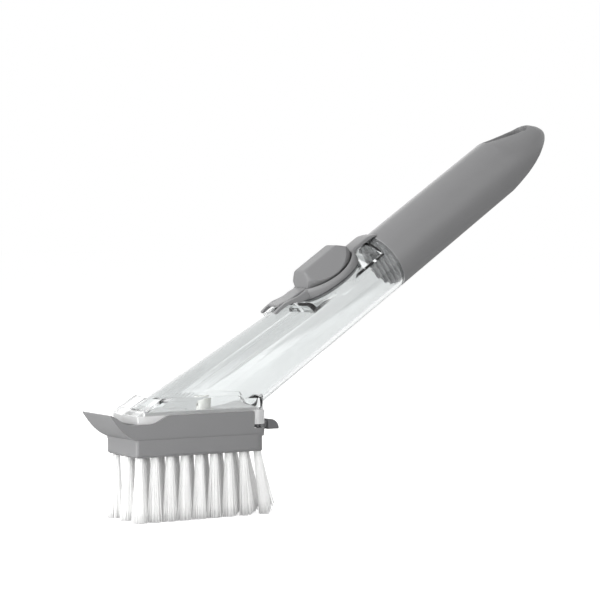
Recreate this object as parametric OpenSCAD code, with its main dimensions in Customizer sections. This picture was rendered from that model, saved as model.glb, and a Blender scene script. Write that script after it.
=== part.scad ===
// Dish wand: a soap tank with a raised pump cap, a grip, and a clip-on brush head.
// All sizes in mm. +Z is up, +X runs from the scraper lip to the grip's end, y = 0 is the mirror plane.
// Head frame: x = 0 at the block's front face, z = 0 at the bristle tips.
// Tube frame: origin at the grip's front rim, s along the axis to the grip's end, n up from the axis.

/* [Whole] */
// Lean of the tank and grip above the table, degrees
tilt = 34.13; // [30:0.5:38]
// Where the tank's axis meets the tray's top, ahead of the tray's rear face
foot_back = 27.6; // [24:0.1:31]
// Length of the axis from the tray's top to the grip's rim
tank_len = 123.3; // [110:0.5:135]
// Outer radius of the tank and the grip's rim
tube_r = 15; // [13.5:0.25:17]
// Wall of the clear tank
tank_wall = 2; // [1.6:0.1:2.4]
// Flat sides of the flared tube and its rings
tube_facets = 96; // [48:24:144]

/* [Brush head] */
// Length of the block
head_len = 69; // [60:0.5:80]
// Width of the block
head_wid = 30; // [26:0.5:36]
// Underside of the block, which is the bristle length
block_z = 30; // [24:0.5:36]
// Tray floor
floor_z = 38.4; // [36:0.1:42]
// Tray rim
rim_z = 49.2; // [47:0.1:52]
// Front corners of the block
front_round = 1.6; // [1:0.1:3]
// Rear corners of the block
rear_round = 5.5; // [3:0.25:8]
// Bevel round the block's lower edge
block_bevel = 1.6; // [0.8:0.1:2.5]
// Tray wall set in from the block's side
tray_inset = 0.6; // [0.3:0.1:1.5]
// Tray wall
tray_wall = 1.5; // [1.2:0.1:2]
// Tray's overhang past the block at the rear
tray_over = 1.4; // [0:0.1:2]
// Height over which the rear of the tray slants out
tray_slant = 3.6; // [1:0.1:6]
// How far the scraper lip reaches forward of the block
lip_reach = 12.9; // [8:0.1:16]
// Top of the scraper lip
lip_top = 50.5; // [46:0.1:54]
// Bulge of the lip's outer face, down and forward
lip_bulge = 1.5; // [0:0.1:3]
// Where the lip's back edge turns down to the dip: distance ahead of the block, height
lip_back = [9.5, 48.9];
// Lip thickness
lip_wall = 2.2; // [1.6:0.1:3]
// Bottom of the finger dip in the tray's side
dip_z = 45.6; // [43:0.1:48]
// Front end of the dip
dip_front = -2; // [-4:0.25:2]
// Rear end of the dip
dip_rear = 8; // [5:0.25:12]
// Where the dip has risen to the rim
dip_end = 18.7; // [14:0.1:24]

/* [Bristles] */
// Rows of tufts
rows = 5; // [3:2:7]
// Distance between rows
row_step = 5.8; // [5:0.1:7]
// First tuft of the outer rows
tuft_first = 3.2; // [2.5:0.1:5]
// Last tuft of the outer rows, ahead of the block's rear face
tuft_last = 3.08; // [2.5:0.02:5]
// Tufts of an outer row
tufts_long = 9; // [6:1:11]
// Strands in a tuft's outer ring
ring_strands = 7; // [5:1:8]
// Strands in a tuft's core
core_strands = 3; // [1:1:4]
// Ring radius at the backing
ring_base = 1.3; // [1:0.1:1.8]
// Core radius at the backing
core_base = 0.5; // [0.4:0.05:0.8]
// Ring radius at the tips
ring_tip = 2.8; // [1.5:0.1:3]
// Core radius at the tips
core_tip = 1.15; // [0.6:0.05:1.6]
// Strand radius, three-sided
strand_r = 0.4; // [0.3:0.02:0.5]
// Backward lean of the last tufts at the tips
rear_lean = 5.2; // [0:0.1:7]
// Length over which the tufts lean more and more, up to the rear ones
lean_len = 22; // [10:1:30]
// Rear end of the leaning tufts, ahead of the block's rear face
lean_end = 3; // [1:0.1:6]
// Lift of the rearmost tips
rear_lift = 5.6; // [0:0.1:7]
// Height of the backing strip that carries a row
strip_h = 1.4; // [1:0.1:2]
// Half width of the backing strip
strip_half = 2.1; // [1.8:0.1:2.6]
// Depth that a strand is rooted in its strip
strand_root = 0.6; // [0.3:0.1:1.2]
// Anchor staple: width, thickness and height
anchor_size = [2.4, 0.35, 1.6];

/* [Tank base] */
// Gap between the tray's rim and the tank's shoulder
seat_gap = 0.1; // [0:0.05:0.3]
// Top of the skirt's upright wall
skirt_top = 57; // [54:0.1:60]
// Skirt set in from the tray wall
skirt_inset = 0.8; // [0.4:0.1:1.5]
// Clearance of the spigot in the tray
spigot_gap = 0.3; // [0.2:0.05:0.5]
// Bottom of the spigot
spigot_z = 43.3; // [42:0.1:46]
// Wall of the spigot and skirt
spigot_wall = 1.5; // [1.2:0.1:2]
// Length of the notches for the clear arms, from the tray's rear face
arm_len = 7.6; // [6:0.1:10]
// Inner edge of the arms on the rear face
arm_inner = 10; // [8:0.1:12]
// Bottom of the clear arms
arm_z = 43; // [42:0.1:45]
// Clearance round an arm in its notch
arm_gap = 0.3; // [0.15:0.05:0.4]
// Bottom of the notches
notch_z = 41.2; // [40:0.1:42]
// Front of the hook legs, ahead of the tray's rear face
leg_back = 10.4; // [9:0.1:12]
// Thickness of a leg along x
leg_thick = 2; // [1.5:0.1:2.5]
// Inner edge of the legs
leg_inner = 10.3; // [9.5:0.1:11]
// Legs set in from the spigot's side
leg_inset = 0.25; // [0.1:0.05:0.5]
// Reach of a hook's foot
foot_reach = 1.8; // [1.2:0.1:2.4]
// Bottom of a hook's foot
foot_z = 39; // [38.7:0.1:39.6]
// Thickness of a hook's foot
foot_thick = 1.2; // [0.8:0.1:1.6]

/* [Outlet] */
// Outlet centre ahead of the tray's rear face
outlet_back = 28; // [25:0.1:31]
// Thickness of the base plate
plate_h = 1.6; // [1.2:0.1:2.5]
// Outer radius of the outlet pipe
pipe_r = 3.6; // [3:0.1:4.5]
// Bore radius of the outlet pipe
pipe_bore = 2; // [1.5:0.1:2.4]
// Bottom of the outlet pipe
pipe_z = 40; // [39:0.1:42]
// Radial clearance of the pipe in its socket
pipe_gap = 0.5; // [0.3:0.05:0.6]
// Wall of the socket
socket_wall = 1.3; // [1:0.1:2]
// Top of the socket
socket_z = 46; // [44:0.1:48]
// Radius of the soap port in the block
port_r = 2.5; // [1.5:0.1:3]
// Height of the pipe seal's centre
seal_z = 43.5; // [42:0.1:45]
// Section radius of the pipe seal
seal_r = 0.7; // [0.5:0.05:1]
// Flange radius of the outlet valve
valve_r = 3; // [2.5:0.1:4]
// Flange thickness of the outlet valve
valve_h = 0.9; // [0.6:0.1:1.5]
// Outer radius of the valve ring
ring_r = 3.7; // [3.2:0.1:5]
// Top of the valve ring
ring_top = 56.2; // [54:0.1:58]
// Long shallow slot in the base plate: start ahead of the outlet, length, width, depth
plate_slot = [18.4, 11.6, 2.4, 0.6];

/* [Latch] */
// Bottom of the latch plate
latch_z = 41.4; // [41:0.1:42]
// Latch plate thickness
latch_h = 1.5; // [1:0.1:2]
// Half width of the plate's spine
spine_half = 8.5; // [7:0.1:9]
// Front of the spine, ahead of the tray's rear face
spine_back = 19.4; // [17:0.1:21]
// Front of the wings, ahead of the tray's rear face
wing_back = 5.2; // [4:0.1:6.5]
// Rear of the spine, ahead of the tray's rear face
spine_gap = 2.4; // [2:0.1:3.5]
// Half width across the wings
wing_half = 12.5; // [11:0.1:12.6]
// Neck through the tray's rear: half width
neck_half = 5.4; // [4:0.1:7]
// Clearance round the latch where it slides
latch_gap = 0.35; // [0.2:0.05:0.5]
// Thumb tab: its front and its tip behind the tray's rear face
tab_reach = [4.6, 10.8];
// Thumb tab: half width
tab_half = 6.5; // [5:0.1:8]
// Thumb tab: bottom and top
tab_z = [39.5, 44.3];
// Travel of the latch, pushed in
latch_travel = 2.5; // [1:0.1:3]
// Wire radius of the catch spring
wire_r = 0.5; // [0.3:0.05:0.7]
// Loop of the catch spring ahead of the hook legs: where it narrows, and its front
loop_back = [6, 7];
// Rail walls beside the spine
rail_wall = 1.1; // [0.8:0.1:1.5]

/* [Grip] */
// Length of the grip along the axis
grip_len = 120.5; // [100:0.5:135]
// How much thinner the grip is where its end begins
grip_taper = 0.3; // [0:0.05:1]
// How much the rim stands proud of the tank
rim_proud = 0.05; // [0:0.05:0.3]
// Upper outline of the grip's end: distance ahead of its tip, depth below the tank's top line
grip_top = [[36.5, -0.3], [28.5, 2.1], [20.5, 3.9], [8.1, 5.9], [4.1, 7.8], [1.2, 12.8]];
// Lower outline from the tip forward: distance ahead of the tip, height above the tank's bottom line
grip_under = [[0, 13], [0.8, 8.2], [5.2, 5.5], [13.5, 2.4], [24.5, 0.5]];
// Where the grip starts to narrow in plan, ahead of its tip
plan_back = 22.5; // [12:0.5:30]
// Length of the plan's oval end
plan_oval = 24; // [18:1:40]
// Wall of the grip
grip_wall = 2.6; // [2:0.1:5]
// Solid length at the grip's end, behind its bore
grip_solid = 34.5; // [28:0.5:60]
// Radius of the hang hole
hang_r = 4.6; // [3:0.1:6]
// Place of the hang hole, ahead of the grip's tip
hang_back = 14.5; // [12:0.5:20]
// Grip's upper outline over the hang hole, below the tank's top line
hang_drop = 5.1; // [4:0.1:7]
// Depth of the scoop below the hang hole's rim
scoop_depth = 3; // [1:0.1:5]
// Front end of the scoop, ahead of the grip's tip
scoop_back = 34.5; // [26:0.5:40]
// Floor of the scoop at its front end, below the tank's top line
scoop_start = 1.4; // [0.5:0.1:3]
// Radius of the scoop's front end
scoop_front_r = 2.2; // [1:0.1:4]
// Radius of the scoop round the hang hole
scoop_r = 5.8; // [5:0.1:7]

/* [Joint of tank and grip] */
// Neck of the tank set in from its outside
neck_step = 0.9; // [0.7:0.05:1.2]
// Length of the tank's neck
neck_len = 10; // [6:0.5:16]
// Radial clearance of the neck in the grip
neck_gap = 0.1; // [0.05:0.05:0.2]
// Radial clearance of the plug in the neck
plug_gap = 0.15; // [0.1:0.05:0.3]
// Front face of the plug behind the rim
plug_front = 1; // [0:0.1:3]
// Height of the plug's ribs
rib_h = 1; // [0.5:0.1:2]
// Width of the plug's ribs
rib_w = 1.2; // [0.8:0.1:2]
// Distance between ribs
rib_step = 4.6; // [3:0.1:6]
// Ribs on the plug
ribs = 5; // [3:2:7]
// Thickness of the plug's flange
flange_h = 1.8; // [1:0.1:3]
// Centre of the plug's seal along the axis
oring_s = 4; // [2:0.5:8]
// Section radius of the plug's seal
oring_r = 0.95; // [0.6:0.05:1.2]

/* [Filling opening] */
// Start of the flare, forward of the rim
flare_start = 35; // [20:1:60]
// Rise of the tube's top per mm of flare
flare_rise = 0.0728; // [0:0.002:0.1]
// Depth of the flat deck below the tank's top line
deck_drop = 6.5; // [5:0.1:8]
// Rear end of the deck
deck_rear = -5.3; // [-8:0.1:-3]
// Front end of the deck at its floor, and of its ramp at the tube's top, ahead of the cap
deck_ahead = [0.55, 8.25];
// Height of the ramp's start over the deck, and of its middle
ramp_rise = [2.8, 5.4];
// Centre of the cap along the axis
cap_s = -31; // [-34:0.25:-28]
// Half length of the cap's outline
cap_a = 18.75; // [16:0.05:21]
// Cap's sides set in from the tank's
cap_side = 0.6; // [0.2:0.05:2]
// Collar set in from the cap's outline
collar_inset = 0.35; // [0.1:0.05:1]
// Wall of the filling collar
collar_wall = 1.7; // [1.2:0.1:2.4]
// Height of the filling collar over the deck
collar_h = 2.2; // [1.5:0.1:3.5]
// Thickness of the filling gasket
gasket_h = 0.65; // [0.4:0.05:1]
// Gap between the gasket and the cap
gasket_gap = 0.05; // [0.02:0.01:0.2]

/* [Cap] */
// Height of the cap's crown above the tank's top line
crown_h = 2.2; // [1:0.1:4]
// Radius of the crown across the cap
crown_r = 38; // [30:1:60]
// Thickness of the cap's floor
floor_h = 0.8; // [0.6:0.1:1.5]
// Width of the cap's rim round the pad
rim_w = 1.35; // [1:0.05:2.5]
// Extra width of that rim at the sides
rim_side = 0.85; // [0:0.05:2]
// Bevel of the crown at the front and rear
crown_bevel = 1.3; // [0.5:0.1:2]
// Half width of the pull tongue
tongue_half = 5; // [4:0.1:6]
// Upper face of the tongue: distance ahead of the cap, height above the tank's top line
tongue_line = [[-4.75, 2], [0.25, 2.6], [6.25, 2.6], [8.85, 3.1], [11.25, 3.6], [14.15, 4.1]];
// Thickness of the tongue
tongue_h = 1.5; // [1:0.1:2]
// Middle of a foot beside the tongue, off centre
prong_y = 6.1; // [5.5:0.1:7]
// Width of a foot
prong_w = 1.9; // [1.4:0.1:2.4]
// Reach of the feet ahead of the cap
prong_reach = 18.25; // [14:0.25:20]
// Outline of a foot from its root: distance behind its tip, height above the tank's top line
prong_line = [[12, 1.4], [7, 3.1], [0.8, 3.3], [0, 2.4], [0, 0], [11, 0]];
// Root of a foot: distance behind the cap's front, height of its top and of its bottom
prong_root = [4.15, 1.6, -2.8];
// Clearance of the cap's tongue and feet over the tank
skin_gap = 0.15; // [0.1:0.05:0.3]
// Half width of the strap
strap_half = 5; // [4:0.1:6]
// Thickness of the strap
strap_h = 2.1; // [1.5:0.1:3]
// Where the cap's rear lug ends and the strap begins
lug_s = -11; // [-12:0.25:-10]
// Rear end of the strap in the grip's rim
strap_end = 1.9; // [1:0.1:3]
// Clearance of the cap's skirt in the collar
liner_gap = 0.75; // [0.6:0.05:1.2]
// Wall of the cap's skirt
liner_wall = 1.2; // [1:0.1:1.6]
// Bottom of the cap's skirt over the deck
liner_h = 0.5; // [0.3:0.1:1.2]
// Width of the ledge that the diaphragm lies on
ledge_w = 1.4; // [1:0.1:2]
// Top of the ledge over the bottom of the cap's skirt
ledge_h = 1.8; // [1.2:0.1:2.2]
// Diaphragm thickness
skin_h = 1; // [0.6:0.1:1.5]

/* [Pump pad] */
// Centre of the pad behind the cap's centre
pad_shift = 0.1; // [-1:0.1:1]
// Gap between the pad and the cap's rim
pad_gap = 0.5; // [0.3:0.05:0.8]
// Travel of the pad
press_travel = 2.5; // [1:0.1:3]
// Gap left under the pad when it is down
pad_stop = 0.2; // [0.1:0.05:0.5]
// Roof height above the tank's top line
roof_h = 9; // [7:0.1:11]
// Half width of the roof
roof_half = 4.5; // [3:0.1:6]
// Front and rear of the roof from the pad's centre
roof_len = [11.6, 10.9];
// Slope of the pad's sides, degrees
side_slope = 50; // [40:1:60]
// Slope of the pad's front, degrees
front_slope = 66; // [55:1:85]
// Slope of the pad's rear, degrees
rear_slope = 43; // [35:1:60]
// Slope of the facets between front and sides, degrees
corner_slope = 56; // [45:1:70]
// Turn of those facets away from the front, degrees
corner_turn = 42; // [30:1:60]
// Upper step of the core set in from the pad
core_inset = 2.4; // [1.5:0.1:3]
// Lower step of the core set in from the upper one
core_step = 1.8; // [1:0.1:2.5]
// Height of the core's upper step
core_h = 1.5; // [1:0.1:2]

/* [Hidden] */
$fn = 96;
tray_rear = head_len + tray_over;
foot_x = tray_rear - foot_back;
outlet_x = tray_rear - outlet_back;
jx = foot_x + tank_len * cos(tilt);
jz = rim_z + tank_len * sin(tilt);
function tube_x(s, n) = jx + s * cos(tilt) - n * sin(tilt);
function tube_z(s, n) = jz + s * sin(tilt) + n * cos(tilt);
grip_end = concat([for (p = grip_top) [grip_len - p[0], tube_r - p[1]]],
    [for (p = grip_under) [grip_len - p[0], p[1] - tube_r]]);
end_curve = smooth(grip_end, 6);
x_max = max([for (p = end_curve) tube_x(p[0], p[1])]);
mid_x = (x_max - lip_reach) / 2;
tray_half = head_wid / 2 - tray_inset;
tray_in = tray_half - tray_wall;
skirt_half = tray_half - skirt_inset;
skirt_rear = tray_rear - skirt_inset / 2;
shoulder_z = rim_z + seat_gap;
spigot_half = tray_in - spigot_gap;
spigot_rear = tray_rear - tray_wall - spigot_gap;
spigot_front = tray_wall + spigot_gap;
plate_z = shoulder_z;
plate_top = plate_z + plate_h;
bore_r = tube_r - tank_wall;
neck_r = tube_r - neck_step;
arm_front = tray_rear - arm_len;
leg_front = tray_rear - leg_back;
spine_front = tray_rear - spine_back;
wing_front = tray_rear - wing_back;
wing_rear = tray_rear - spine_gap;
tab_x = [tray_rear + tab_reach[0], tray_rear + tab_reach[1]];
tuft_step = (head_len - tuft_first - tuft_last) / (tufts_long - 1);
plan_from = grip_len - plan_back;
grip_bore = tube_r - grip_wall;
grip_r_end = tube_r - grip_taper;
hang_s = grip_len - hang_back;
scoop_front = grip_len - scoop_back;
cap_b = tube_r - cap_side;
cap_front = cap_s - cap_a;
deck_n = tube_r - deck_drop;
deck_front = [cap_front - deck_ahead[0], cap_front - deck_ahead[1]];
collar_n = deck_n + collar_h;
crown_n = tube_r + crown_h;
tongue_top = [for (p = tongue_line) [cap_front - p[0], tube_r + p[1]]];
prong_tip = cap_front - prong_reach;
liner_n = deck_n + liner_h;
ledge_n = liner_n + ledge_h;
pad_s = cap_s + pad_shift;
roof_n = tube_r + roof_h;
roof_s = [pad_s - roof_len[0], pad_s + roof_len[1]];
collar_a = cap_a - collar_inset;
collar_b = cap_b - collar_inset;
hole_a = collar_a - collar_wall;
hole_b = collar_b - collar_wall;
frame_n = collar_n + gasket_h + gasket_gap;
recess_a = cap_a - rim_w;
recess_b = cap_b - rim_w - rim_side;
liner_a = hole_a - liner_gap;
liner_b = hole_b - liner_gap;
well_a = liner_a - liner_wall;
well_b = liner_b - liner_wall;
pad_a = recess_a - pad_gap;
pad_b = recess_b - pad_gap;
pad_n = frame_n + floor_h + press_travel + pad_stop;
core_a = pad_a - core_inset;
core_b = pad_b - core_inset;
valve_z = plate_top;
socket_r = pipe_r + pipe_gap;
far = 400;

// Points of a smooth curve through a list of points, each span in a number of steps
function smooth(p, steps) = concat([for (i = [0:len(p) - 2], k = [0:steps - 1])
    let (t = k / steps, a = p[max(i - 1, 0)], b = p[i], c = p[i + 1], d = p[min(i + 2, len(p) - 1)])
    0.5 * (2 * b + t * (c - a) + t * t * (2 * a - 5 * b + 4 * c - d)
        + t * t * t * (3 * b - a - 3 * c + d))], [p[len(p) - 1]]);

// Head frame to the part's frame
module at_head() translate([-mid_x, 0, 0]) children();

// Tube frame to the part's frame
module at_tube() translate([jx - mid_x, 0, jz]) rotate([0, -tilt, 0]) children();

// Upright box given by its corners
module span(lo, hi) translate(lo) cube(hi - lo);

// Prism across the width from a side outline in x, z
module side_prism(pts, half) translate([0, half, 0]) rotate([90, 0, 0]) linear_extrude(2 * half) polygon(pts);

// Upright oval of half length a and half width b, from height lo to hi
module oval(a, b, lo, hi) translate([0, 0, lo]) scale([a, b, 1]) cylinder(r = 1, h = hi - lo);

// Plan of the head: square front, round rear corners
module head_plan(x0, x1, half, rf, rr, z0, z1) translate([0, 0, z0]) linear_extrude(z1 - z0) union() {
    translate([x0 + rf, -half]) square([x1 - x0 - rf - rr, 2 * half]);
    translate([x0, rf - half]) square([rf + 1, 2 * (half - rf)]);
    translate([x1 - rr - 1, rr - half]) square([rr + 1, 2 * (half - rr)]);
    for (y = [-1, 1]) {
        translate([x0 + rf, y * (half - rf)]) circle(rf);
        translate([x1 - rr, y * (half - rr)]) circle(rr);
    }
}

// Ring of the tube at s, set in by an amount
function tube_ring(s, inset) = let (d = max(0, -s - flare_start), up = flare_rise * d / 2)
    [for (k = [0:tube_facets - 1]) let (t = 360 * (k + 0.5) / tube_facets)
        [s, (tube_r - inset) * cos(t), up + (tube_r + up - inset) * sin(t)]];

// Flared tube of the tank, from the rim down past the tray's rim, in triangles
module tube_solid(inset, rear) {
    m = tube_facets;
    at = [rear, -flare_start, -tank_len - head_len];
    polyhedron(points = [for (s = at) each tube_ring(s, inset)],
        faces = concat([[for (k = [m - 1:-1:0]) k]], [[for (k = [0:m - 1]) 2 * m + k]],
            [for (j = [0:1], k = [0:m - 1]) [j * m + k, j * m + (k + 1) % m, (j + 1) * m + k]],
            [for (j = [0:1], k = [0:m - 1]) [j * m + (k + 1) % m, (j + 1) * m + (k + 1) % m, (j + 1) * m + k]]));
}

// Space cut away over the deck, or with grow the space whose underside is the deck's inner face
module deck_cut(grow = 0) side_prism([[deck_rear + grow, tube_r + 9], [deck_rear + grow, deck_n - grow],
    [deck_front[0] - grow, deck_n - grow], [deck_front[0] - 0.2 - grow, deck_n + ramp_rise[0] - grow / 2],
    [(deck_front[0] + deck_front[1]) / 2 - 0.4 - grow, deck_n + ramp_rise[1] - grow / 2],
    [deck_front[1] - grow, tube_r + 2.2], [deck_front[1] - grow, tube_r + 9]], tube_r + 2);

// Skirt and spigot outline: the tank's base in the tray
module base_block(front, rear, half, rr, z0, z1, drop) intersection() {
    head_plan(front, rear, half, 1, rr, z0, z1);
    side_prism([[front - 1, z0 - 1], [rear + 1, z0 - 1], [rear + 1, z1 + 1],
        [front + drop + (z1 + 1 - rim_z) * 1.73, z1 + 1], [front + drop, rim_z], [front - 1, rim_z]], half + 1);
}

// Clear tank in one moulding; the resize keeps every size and has the whole tank meshed at once
module reservoir() color([0.86, 0.9, 0.92, 0.5]) resize([0, 0, 0]) difference() {
    $fn = 48;
    union() {
        at_head() intersection() {
            translate([mid_x, 0, 0]) at_tube() difference() {
                tube_solid(0, 0);
                deck_cut();
            }
            union() {
                span([-20, -20, skirt_top], [far, 20, far]);
                span([-20, -skirt_half, shoulder_z], [far, skirt_half, skirt_top + 1]);
            }
        }
        at_head() base_block(-0.5, skirt_rear, skirt_half, rear_round - 0.8, shoulder_z, skirt_top, 1.4);
        at_head() head_plan(spigot_front, spigot_rear, spigot_half, 1, rear_round - 2,
            spigot_z, shoulder_z + 0.15);
        at_head() clear_arms();
        at_head() hook_legs();
        at_tube() translate([cap_s, 0, 0]) oval(collar_a, collar_b, 3, collar_n);
        at_tube() rotate([0, 90, 0]) translate([0, 0, -1]) cylinder(r = neck_r, h = neck_len + 1);
    }
    at_head() intersection() {
        translate([mid_x, 0, 0]) at_tube() difference() {
            tube_solid(tank_wall, 2);
            deck_cut(tank_wall);
        }
        union() {
            span([-20, -20, skirt_top + 1.8], [far, 20, far]);
            span([-20, spigot_wall - skirt_half, plate_top], [far, skirt_half - spigot_wall, skirt_top + 2]);
        }
    }
    at_head() base_block(4.2, skirt_rear - 2.2, skirt_half - spigot_wall - 0.25, rear_round - 2.4,
        plate_top - 0.3, skirt_top - 1.8, 0.4);
    at_head() head_plan(spigot_front + 3.4, spigot_rear - spigot_wall, spigot_half - spigot_wall, 1,
        rear_round - 3.4, spigot_z - 1, plate_top);
    at_tube() translate([cap_s, 0, 0]) oval(hole_a, hole_b, 2, collar_n + 1);
    at_tube() rotate([0, 90, 0]) translate([0, 0, -3]) cylinder(r = bore_r, h = neck_len + 6);
}

// Corner arms of the tank that fill the tray's rear notches
module clear_arms() intersection() {
    head_plan(0, tray_rear, tray_half, 1, rear_round - tray_inset, arm_z, shoulder_z + 0.5);
    difference() {
        for (y = [-1, 1]) span([arm_front + arm_gap, min(y * (arm_inner + arm_gap), y * tray_half), arm_z],
            [tray_rear, max(y * (arm_inner + arm_gap), y * tray_half), shoulder_z + 0.5]);
        head_plan(0, spigot_rear - spigot_wall, spigot_half - spigot_wall, 1, rear_round - 3.4,
            arm_z - 1, shoulder_z + 1);
    }
}

// Hook legs under the spigot, each with a foot that points forward
module hook_legs() for (y = [-1, 1]) {
    lo = min(y * leg_inner, y * (spigot_half - leg_inset));
    hi = max(y * leg_inner, y * (spigot_half - leg_inset));
    span([leg_front, lo, foot_z], [leg_front + leg_thick, hi, spigot_z + 1.5]);
    span([leg_front - foot_reach, lo, foot_z], [leg_front + 0.5, hi, foot_z + foot_thick]);
}

// Clear plate that closes the tank, with the outlet pipe
module base_plate() color([0.82, 0.87, 0.9, 0.6]) at_head() difference() {
    union() {
        head_plan(spigot_front + 3.4, spigot_rear - spigot_wall, spigot_half - spigot_wall, 1,
            rear_round - 3.4, plate_z, plate_top);
        translate([outlet_x, 0, pipe_z]) cylinder(r = pipe_r, h = plate_z - pipe_z + 0.5);
    }
    translate([outlet_x, 0, pipe_z - 1]) cylinder(r = pipe_bore, h = plate_top - pipe_z + 2);
    translate([outlet_x, 0, seal_z]) rotate_extrude() translate([pipe_r + 0.1, 0]) square([2.2, 2.1 * seal_r], center = true);
    span([outlet_x - plate_slot[0], -plate_slot[2] / 2, plate_top - plate_slot[3]],
        [outlet_x - plate_slot[0] + plate_slot[1], plate_slot[2] / 2, plate_top + 1]);
}

// Silicone valve with a slit dome in the pipe's mouth
module outlet_valve() color([0.9, 0.9, 0.9]) at_head() translate([outlet_x, 0, valve_z]) difference() {
    union() {
        cylinder(r = valve_r, h = valve_h);
        intersection() {
            translate([0, 0, -1.2]) cylinder(r = pipe_bore - 0.1, h = 1.4);
            translate([0, 0, 0.9]) sphere(r = pipe_bore + 0.3);
        }
    }
    translate([0, 0, 0.9]) sphere(r = pipe_bore - 0.5);
    translate([-1.2, -0.1, -2]) cube([2.4, 0.2, 2.5]);
}

// Ring over the valve's flange, with two side windows for the soap
module valve_ring() color([0.93, 0.93, 0.92]) at_head() translate([outlet_x, 0, valve_z]) difference() {
    cylinder(r = ring_r, h = ring_top - valve_z);
    translate([0, 0, -1]) cylinder(r = valve_r + 0.05, h = valve_h + 1);
    translate([0, 0, -1]) cylinder(r = valve_r - 0.8, h = ring_top - valve_z + 2);
    translate([-ring_r - 1, -0.9, valve_h + 0.9]) cube([2 * ring_r + 2, 1.8, 2.2]);
}

// Seal between the outlet pipe and the head's socket
module pipe_seal() color([0.25, 0.25, 0.26]) at_head() translate([outlet_x, 0, seal_z])
    rotate_extrude() translate([pipe_r - 1 + seal_r, 0]) circle(seal_r);

// Grip's outer form: cone, side outline and plan outline
module grip_body(inset) intersection() {
    rotate([0, 90, 0]) cylinder(r1 = tube_r + rim_proud, r2 = grip_r_end - 0.1, h = grip_len + 2);
    side_prism(concat([[0, -tube_r - 1], [0, tube_r + 1], [grip_end[0][0] - 1.5, tube_r + 1]], end_curve,
        [[grip_end[10][0] - 6, -tube_r - 1]]), tube_r + 2);
    translate([0, 0, -20]) union() {
        translate([0, -20, 0]) cube([plan_from, 40, 40]);
        translate([plan_from, 0, 0]) scale([plan_oval, tube_r, 1]) cylinder(r = 1, h = 40);
    }
}

// Grip with a slanting scooped end and a hang hole
module handle() color([0.54, 0.54, 0.55]) at_tube() difference() {
    grip_body(0);
    rotate([0, 90, 0]) translate([0, 0, -1]) cylinder(r = neck_r + neck_gap, h = neck_len + flange_h + 1.1);
    rotate([0, 90, 0]) cylinder(r = grip_bore, h = grip_len - grip_solid - grip_bore / 3);
    translate([hang_s, 0, -20]) cylinder(r = hang_r, h = 40);
    scoop();
    span([-1, -strap_half - 0.1, neck_r - 1.5], [strap_end + 0.1, strap_half + 0.1, tube_r + 2]);
}

// Drop-shaped scoop along the slanting top, deepest at the hang hole
module scoop() {
    dn = tube_r - hang_drop - scoop_depth;
    translate([hang_s, 0, dn]) cylinder(r = scoop_r, h = 10);
    hull() {
        translate([hang_s - 1, 0, dn]) cylinder(r = scoop_r - 0.4, h = 10, $fn = 32);
        translate([scoop_front, 0, tube_r - scoop_start]) cylinder(r = scoop_front_r, h = 5, $fn = 32);
    }
}

// Ribbed plug that closes the tank's rear end
module handle_plug() color([0.47, 0.47, 0.48]) at_tube() rotate([0, 90, 0]) difference() {
    union() {
        translate([0, 0, -plug_front]) cylinder(r = bore_r - plug_gap, h = neck_len + plug_front);
        translate([0, 0, neck_len]) cylinder(r = neck_r, h = flange_h);
        intersection() {
            translate([0, 0, -plug_front - rib_h]) cylinder(r = bore_r - plug_gap, h = rib_h + 0.5);
            for (k = [0:ribs - 1]) translate([-20, (k - (ribs - 1) / 2) * rib_step - rib_w / 2,
                -plug_front - rib_h]) cube([40, rib_w, rib_h + 0.5]);
        }
    }
    translate([0, 0, oring_s]) rotate_extrude() translate([bore_r + 0.5, 0])
        square([2 * (2 * oring_r + 0.6), 2.1 * oring_r], center = true);
    translate([0, 0, plug_front + 1.5]) cylinder(r = bore_r - 4.5, h = neck_len + 6);
}

// Seal on the plug
module plug_seal() color([0.2, 0.2, 0.21]) at_tube() translate([oring_s, 0, 0]) rotate([0, 90, 0])
    rotate_extrude() translate([bore_r - oring_r - 0.06, 0]) circle(oring_r);

// Oval gasket on the filling collar
module fill_gasket() color([0.22, 0.22, 0.23]) at_tube() translate([cap_s, 0, 0]) difference() {
    oval(collar_a - 0.1, collar_b - 0.1, collar_n, collar_n + gasket_h);
    oval(hole_a + 0.1, hole_b + 0.1, collar_n - 1, collar_n + 2);
}

// Everything under the cap's crown
module crown_space() intersection() {
    rotate([0, 90, 0]) translate([crown_r - crown_n, 0, -far]) cylinder(r = crown_r, h = 2 * far, $fn = 180);
    span([-far, -tube_r - 5, 0], [far, tube_r + 5, 2 * tube_r]);
}

// Oval cap with a well for the pad, a rear lug, a pull tongue and two feet
module cap_frame() color([0.56, 0.56, 0.57]) at_tube() difference() {
    union() {
        intersection() {
            translate([cap_s, 0, 0]) oval(cap_a, cap_b, frame_n, crown_n + 1);
            crown_space();
            translate([cap_s, 0, crown_n - crown_bevel - 3]) scale([cap_a, cap_b, 1])
                cylinder(r1 = 1 + 3 / cap_a, r2 = 1 - crown_bevel / cap_a, h = crown_bevel + 3);
        }
        intersection() {
            span([cap_s + cap_a - 3.4, -strap_half, crown_n - strap_h - 0.6], [lug_s, strap_half, crown_n]);
            crown_space();
        }
        difference() {
            union() {
                tongue();
                prongs();
            }
            difference() {
                tube_solid(-skin_gap, 0);
                deck_cut();
            }
        }
    }
    translate([pad_s, 0, 0]) oval(recess_a, recess_b, frame_n + floor_h, crown_n + 3);
    translate([cap_s, 0, 0]) oval(well_a, well_b, frame_n - 1, crown_n);
}

// Pull tongue, straight across its end
module tongue() side_prism(concat(tongue_top, [for (i = [len(tongue_top) - 1:-1:0])
    [tongue_top[i][0], tongue_top[i][1] - tongue_h]]), tongue_half);

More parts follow.
